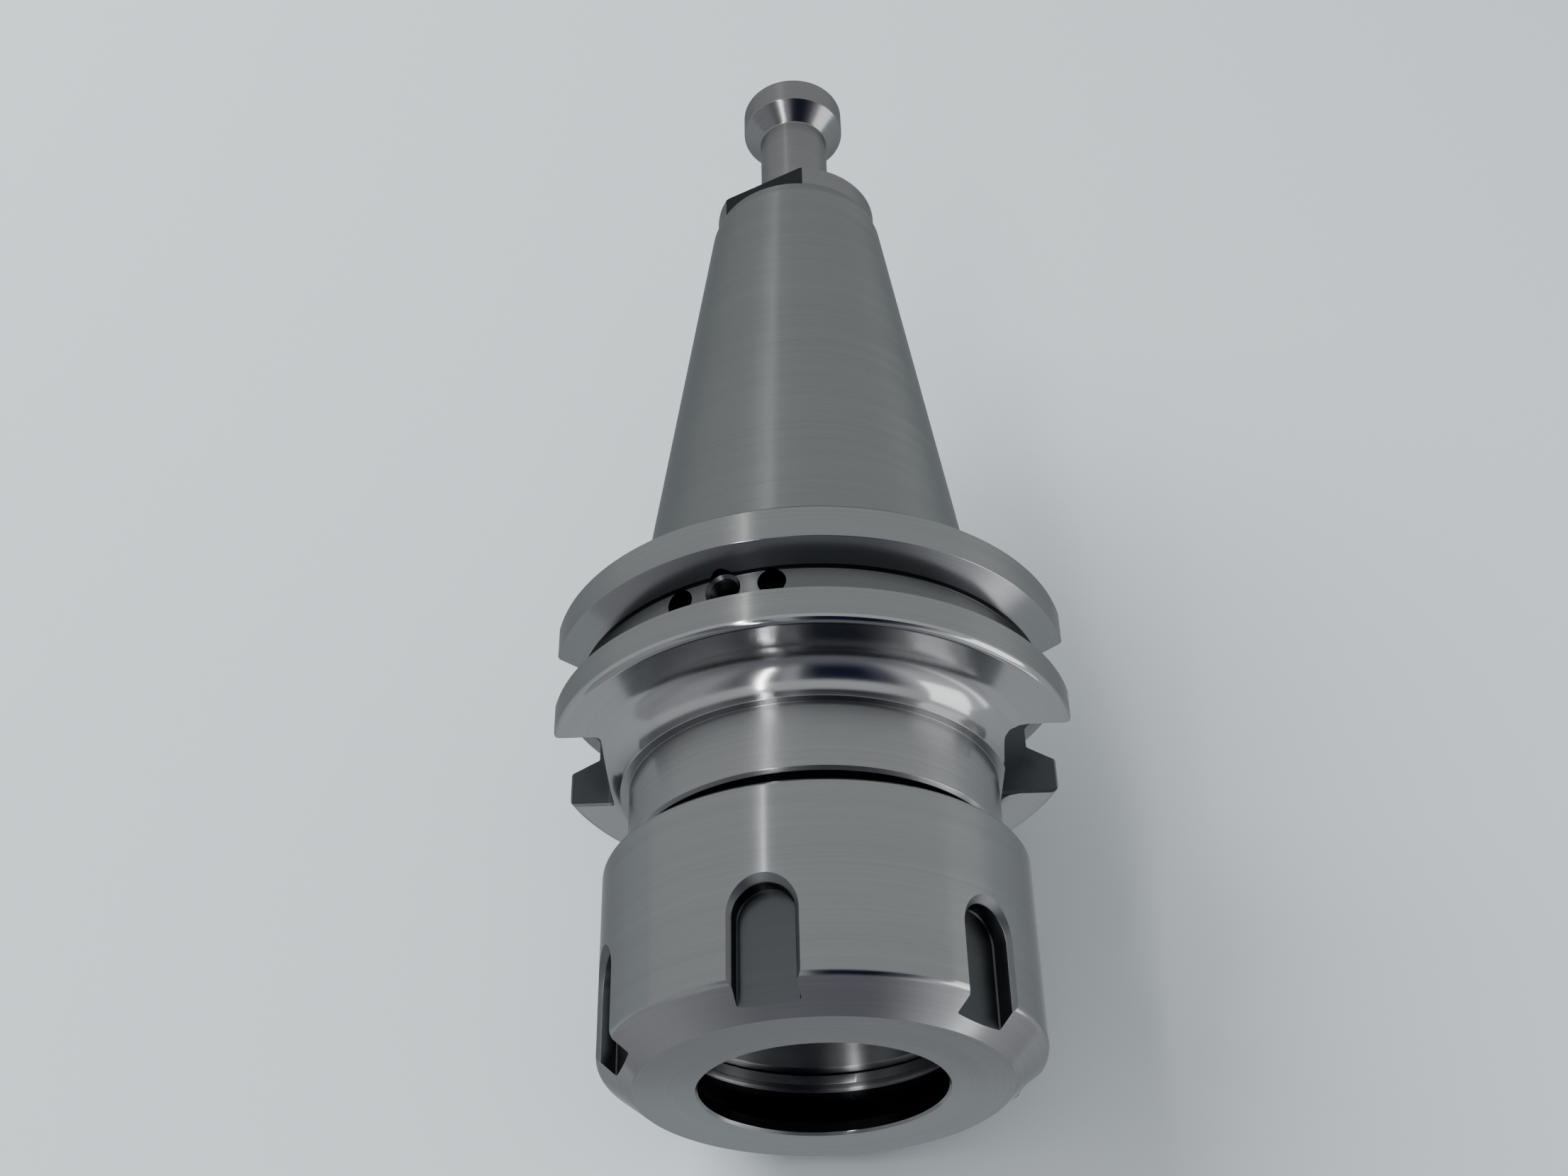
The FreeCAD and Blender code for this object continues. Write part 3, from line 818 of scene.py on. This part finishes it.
# %% [markdown]
# The knob screws into the small end of the taper. Two flats on its flange take a wrench, and
# the drawbar grips it under the 45 degree cone of its head. That cone is polished by use, the
# flats are painted nearly black as shade, and the rest of the knob is ground. The cone starts
# 0.2 mm higher here than in the solid, where the photograph has it.

# %% Retention knob
FLAT_DISTANCE = 9.6
FLAT_REACH = 14
FLAT_OUTSIDE = 30
FLAT_HEIGHTS = (130.08, 133.62)

knob_corners = [
    (0.5, 104.1, 0), (6.1, 104.1, 0.1), (7.188, 105.2, 0.1), (7.188, 130.1, 0.15),
    (11.5, 130.1, 0.2), (11.5, 133.6, 0.25), (5.0, 133.6, 1.0), (5.0, 150.5, 0.5),
    (7.5, 153.0, 0.4), (7.5, 157.0, 1.0), (4.7, 159.9, 0.8), (0.5, 159.9, 0),
]
knob_zones = [(knob_cone, above(5.05), (150, 153)), (ground_knob, ANY, ANY)]


def knob_flat(name, azimuth):
    """Cutter of one wrench flat: a slab from the flat outwards, facing -Y at azimuth 0."""
    near, far = -FLAT_DISTANCE, -FLAT_OUTSIDE
    corners = [(-FLAT_REACH, far), (FLAT_REACH, far), (FLAT_REACH, near), (-FLAT_REACH, near)]
    plan = np.array(corners, float)
    rings = [np.column_stack([plan, np.full(4, height)]) for height in FLAT_HEIGHTS]
    return skin(name, turned_about_z(np.array(rings), azimuth), np.full(1, CUT_FACE))


knob_runs = section(knob_corners, closed=False)
knob = turned("drawbar_knob", knob_runs, closed=False)
cut(knob, [knob_flat("near_flat", -27.8), knob_flat("far_flat", 152.2)])
# painted shade: the flats are nearly black
knob_cuts = [black_oxide_and_shade]
finish_piece(knob, knob_runs, knob_zones, knob_cuts, "holder", "retention_knob")

# %% [markdown]
# The set screw sits deep in its tapped hole and only its dark end with the hexagon
# socket can be seen. Its rings go from the thread over the end face into the socket,
# and change on the way from a circle to a hexagon.

# %% Set screw
SCREW_AROUND = 96
SOCKET_WIDTH = 2.0
SCREW_START = 21.3
SCREW_END = 26.3
SOCKET_FLOOR = 24.1
SCREW_THREAD_START = 21.7
SCREW_CORE_RADIUS = 1.66
SCREW_CREST_RADIUS = 1.95
THREAD_RINGS = 12


def hexagon_radius(angles, across_flats):
    """Distance of a hexagon's edge from its centre: half width / cos(angle to the flat)."""
    sector = np.mod(angles, np.pi / 3) - np.pi / 6
    return across_flats / 2 / np.cos(sector)


def screw_rings():
    """Rings of the screw from its inner end outwards: share of hexagon, radius, distance."""
    angles = circle_angles(SCREW_AROUND)
    stations = [(0, 0.2, SCREW_START), (0, 1.2, SCREW_START)]
    for step in range(THREAD_RINGS):
        radius = SCREW_CORE_RADIUS if step % 2 == 0 else SCREW_CREST_RADIUS
        stations.append((0, radius, SCREW_THREAD_START + THREAD_STEP * step))
    stations += [(0, 1.5, SCREW_END), (0, 1.3, SCREW_END)]
    stations += [(1, 0, SCREW_END), (1, 0, SOCKET_FLOOR)]
    rings = []
    for share, radius, distance in stations:
        reach = (1 - share) * radius + share * hexagon_radius(angles, SOCKET_WIDTH)
        sideways, upwards = reach * np.cos(angles), GROOVE_HEIGHT + reach * np.sin(angles)
        rings.append(np.stack([sideways, 0 * angles - distance, upwards], axis=-1))
    return turned_about_z(np.array(rings), SCREW_AZIMUTH)


screw_grid = screw_rings()
screw = skin("groove_screw", screw_grid, np.full(len(screw_grid) - 1, CUT_FACE))
no_runs = np.empty((0, 4, 2))
finish_piece(screw, no_runs, [], [black_oxide_and_shade], "holder", "set_screw")

# %% [markdown]
# The table and the floor are pale sheets that show only from their front. In the
# photograph the steel's two edges mirror the table equally dark, though the table
# itself is lighter on the left, so metal sees such a sheet as one even tone.

# %% Pale sheets
SHEET_ROUGHNESS = 0.8
SHEET_SPECULAR = 0.2


def new_sheet(name, points, faces):
    """Object and shader nodes of a part of the surroundings, from points in metres."""
    mesh = bpy.data.meshes.new(name)
    mesh.from_pydata(points, [], faces)
    sheet = bpy.data.objects.new(name, mesh)
    bpy.context.scene.collection.objects.link(sheet)
    paint = bpy.data.materials.new(name)
    paint.use_nodes = True
    mesh.materials.append(paint)
    return sheet, paint.node_tree


def mixed(tree, share, first, second):
    """Shader that is the first where the share is 0 and the second where it is 1."""
    mix = tree.nodes.new("ShaderNodeMixShader")
    for socket, value in zip(mix.inputs, (share, first, second)):
        tree.links.new(value, socket)
    return mix.outputs[0]


def pale_sheet(name, corners, colour, mirrored, only_camera):
    """One-sided pale sheet through four corners in metres, drawn by its front face only.

    Metal that reflects it sees the even tone mirrored.
    """
    sheet, tree = new_sheet(name, corners, [(0, 1, 2, 3)])
    shader = tree.nodes["Principled BSDF"]
    shader.inputs["Base Color"].default_value = (*colour, 1)
    shader.inputs["Roughness"].default_value = SHEET_ROUGHNESS
    shader.inputs["Specular IOR Level"].default_value = SHEET_SPECULAR
    # painted reflection: for glossy rays the sheet glows with this even tone instead of being
    # lit
    tone = tree.nodes.new("ShaderNodeEmission")
    tone.inputs["Color"].default_value = (*mirrored, 1)
    light_path = tree.nodes.new("ShaderNodeLightPath")
    in_metal = light_path.outputs["Is Glossy Ray"]
    front = mixed(tree, in_metal, shader.outputs[0], tone.outputs[0])
    hidden = tree.nodes.new("ShaderNodeNewGeometry").outputs["Backfacing"]
    if only_camera:
        unseen = math_node(tree, "SUBTRACT", 1.0, light_path.outputs["Is Camera Ray"])
        hidden = math_node(tree, "MAXIMUM", hidden, unseen)
    clear = tree.nodes.new("ShaderNodeBsdfTransparent")
    surface = mixed(tree, hidden, front, clear.outputs[0])
    tree.links.new(surface, tree.nodes["Material Output"].inputs["Surface"])
    print("sheet made:", name)
    return sheet


# %% [markdown]
# In the photograph the holder lies on a plain pale table, seen from its nut's end. Here
# it stands on its nut, so the table becomes a pale wall that leans on the flange's and
# the nut's rims behind the holder. A level floor under the nut serves the other views
# and shows to the camera alone. Both are one-sided, so neither hides the holder.

# %% Table and floor
TABLE_FOOT = 0.0246
TABLE_LEAN = 0.178
TABLE_LOW, TABLE_HIGH = -0.01, 2.5
SHEET_REACH = 3
FLOOR_LEVEL = -0.0003
TABLE_COLOUR = (0.478, 0.522, 0.551)
MIRRORED_TONE = (0.51, 0.545, 0.567)

near_y = TABLE_FOOT + TABLE_LEAN * TABLE_LOW
far_y = TABLE_FOOT + TABLE_LEAN * TABLE_HIGH
table_corners = [
    (-SHEET_REACH, near_y, TABLE_LOW), (SHEET_REACH, near_y, TABLE_LOW),
    (SHEET_REACH, far_y, TABLE_HIGH), (-SHEET_REACH, far_y, TABLE_HIGH),
]
table = pale_sheet("table", table_corners, TABLE_COLOUR, MIRRORED_TONE, only_camera=False)
table.visible_shadow = False
floor_corners = [
    (x * SHEET_REACH, y * SHEET_REACH, FLOOR_LEVEL)
    for x, y in [(-1, -1), (1, -1), (1, 1), (-1, 1)]
]
pale_sheet("floor", floor_corners, TABLE_COLOUR, MIRRORED_TONE, only_camera=True)

# %% [markdown]
# Metal looks like what stands round it. A narrow upright strip, brighter in its lower
# half, gives the thin highlight that runs down the knob, the taper and the nut, and a
# window low on the right gives the streak on the fillet. Two broad soft lamps light the
# table, more from the left, and aren't mirrored.

# %% Lamps
STRIP_AZIMUTH = -26.5
STRIP_DISTANCE = 0.9
STRIPS = {  # height of the middle, width, height and power
    "low_strip": (-0.6, 0.034, 1.6, 4.2),
    "high_strip": (0.9, 0.024, 1.4, 0.2),
}
FILLET_HEIGHT = 0.04
MIDDLE_HEIGHT = 0.07


def lamp(name, place, target, width, height, power):
    """Rectangular lamp at a place, aimed at a target, in metres and watts."""
    data = bpy.data.lights.new(name, "AREA")
    data.shape = "RECTANGLE"
    data.size, data.size_y = width, height
    data.energy = power
    made = bpy.data.objects.new(name, data)
    aim = Vector(target) - Vector(place)
    turn = aim.to_track_quat("-Z", "Y").to_matrix().to_4x4()
    made.matrix_world = Matrix.Translation(place) @ turn
    bpy.context.scene.collection.objects.link(made)
    return made


def around_holder(azimuth, elevation, distance, height):
    """Place some way from a height on the spindle axis; azimuth 0 is -Y and 90 is +X."""
    flat = distance * math.cos(math.radians(elevation))
    angle = math.radians(azimuth)
    rise = distance * math.sin(math.radians(elevation))
    return (flat * math.sin(angle), -flat * math.cos(angle), height + rise)


strip_place = Vector(around_holder(STRIP_AZIMUTH, 0, STRIP_DISTANCE, 0))
for name, (middle_height, width, height, power) in STRIPS.items():
    target = Vector((0, 0, middle_height))
    lamp(name, strip_place + target, target, width, height, power)
window_place = around_holder(80, -14, 0.6, FILLET_HEIGHT)
lamp("window", window_place, (0, 0, FILLET_HEIGHT), 0.3, 0.5, 0.9)
left_place = around_holder(-50, 26, 1.2, MIDDLE_HEIGHT)
left_soft = lamp("left_soft", left_place, (-0.12, 0, MIDDLE_HEIGHT), 0.9, 0.9, 28.0)
front_place = around_holder(10, -14, 1.2, MIDDLE_HEIGHT)
front_soft = lamp("front_soft", front_place, (0, 0, MIDDLE_HEIGHT), 0.9, 0.7, 2.6)
for soft_lamp in (left_soft, front_soft):
    soft_lamp.visible_glossy = False
print("lamps:", sorted(light.name for light in bpy.data.lights))

# %% [markdown]
# A pale room round everything gives the steel its even grey. The camera sees the
# table's colour in its place, wherever it looks past the table and the floor.

# %% Pale room
ROOM_COLOUR = (0.96, 0.99, 1.0)
ROOM_STRENGTH = 0.6

world = bpy.data.worlds.new("pale_room")
bpy.context.scene.world = world
world.use_nodes = True
world_tree = world.node_tree
room = world_tree.nodes["Background"]
room.inputs["Color"].default_value = (*ROOM_COLOUR, 1)
room.inputs["Strength"].default_value = ROOM_STRENGTH
backdrop = world_tree.nodes.new("ShaderNodeBackground")
backdrop.inputs["Color"].default_value = (*TABLE_COLOUR, 1)
backdrop.inputs["Strength"].default_value = 1.0
seen_by_camera = world_tree.nodes.new("ShaderNodeLightPath").outputs["Is Camera Ray"]
surface = mixed(world_tree, seen_by_camera, room.outputs[0], backdrop.outputs[0])
world_tree.links.new(surface, world_tree.nodes["World Output"].inputs["Surface"])
print("world made:", world.name)

# %% [markdown]
# Whoever took the photograph stood below and in front of the holder, so its polished
# faces mirror a dark shape there, and to the right of it a bright wall with a bright
# edge. A curved sheet round the lower half of the scene does the same: its shade
# changes from azimuth to azimuth, it fades out towards the horizon, and only
# mirror-like surfaces see it.

# %% Sheet that the polished faces mirror
SHEET_RADIUS = 1.5
SHEET_CENTRE_HEIGHT = 0.04
LOWEST = -89
SHADE_STOPS = [  # azimuth and shade
    (-180, 0.34), (-145, 0.34), (-120, 0.38), (-100, 0.34), (-80, 0.4), (-60, 0.4),
    (-42, 0.14), (-18, 0.1), (-14, 0.4), (-8, 0.4), (-4, 0.1), (4, 0), (30, 0),
    (46, 0.12), (64, 0.7), (108, 0.7), (112, 1.8), (117, 1.8), (120, 0.45), (145, 0.4),
    (180, 0.34),
]
UNDERSIDE_SHADE = 0.18
UNDERSIDE_EDGE = (-74, -46)
HORIZON_EDGE = (-14, -4)
SHADE_TINT = (0.008, 0.014, 0.035)


def falling(values, edge):
    """Fade from 1 at the edge's start to 0 at its end, going as 3 t^2 - 2 t^3."""
    start, end = edge
    share = np.clip((end - values) / (end - start), 0, 1)
    return share * share * (3 - 2 * share)


def lower_half_sphere():
    """point(a, e) = radius * (sin a cos e, -cos a cos e, sin e): points, faces, a and e."""
    azimuths = np.linspace(-180, 180, 361)
    elevations = np.linspace(LOWEST, 0, 45)
    across, upwards = np.meshgrid(azimuths, elevations)
    a, e = np.radians(across), np.radians(upwards)
    points = np.stack([np.sin(a) * np.cos(e), -np.cos(a) * np.cos(e), np.sin(e)], axis=-1)
    points = points.reshape(-1, 3) * SHEET_RADIUS + (0, 0, SHEET_CENTRE_HEIGHT)
    index = np.arange(across.size).reshape(across.shape)
    corners = [index[:-1, :-1], index[:-1, 1:], index[1:, 1:], index[1:, :-1]]
    faces = np.stack(corners, axis=-1).reshape(-1, 4)
    return points.tolist(), faces.tolist(), across, upwards


def sheet_colours(across, upwards):
    """Colour and opacity at each azimuth and elevation, one after the other."""
    stops, shades = zip(*SHADE_STOPS)
    underside = falling(upwards, UNDERSIDE_EDGE)
    level = np.interp(across, stops, shades)
    level = level * (1 - underside) + UNDERSIDE_SHADE * underside
    colours = level[..., None] + np.array(SHADE_TINT)
    opacity = falling(upwards, HORIZON_EDGE)
    return np.concatenate([colours, opacity[..., None]], axis=-1).reshape(-1)


points, faces, across, upwards = lower_half_sphere()
lower_room, tree = new_sheet("lower_room", points, faces)
layer = lower_room.data.attributes.new("shade", "FLOAT_COLOR", "POINT")
layer.data.foreach_set("color", sheet_colours(across, upwards).astype(np.float32))
lower_room.visible_camera = False
lower_room.visible_diffuse = False
lower_room.visible_shadow = False
tree.nodes.remove(tree.nodes["Principled BSDF"])
shade_node = tree.nodes.new("ShaderNodeAttribute")
shade_node.attribute_name = "shade"
glow = tree.nodes.new("ShaderNodeEmission")
tree.links.new(shade_node.outputs["Color"], glow.inputs["Color"])
clear = tree.nodes.new("ShaderNodeBsdfTransparent")
surface = mixed(tree, shade_node.outputs["Alpha"], clear.outputs[0], glow.outputs[0])
tree.links.new(surface, tree.nodes["Material Output"].inputs["Surface"])
print("sheet made:", lower_room.name)

# %% [markdown]
# Last, the scene is brought up to date.

# %% Bringing the scene up to date
bpy.context.view_layer.update()
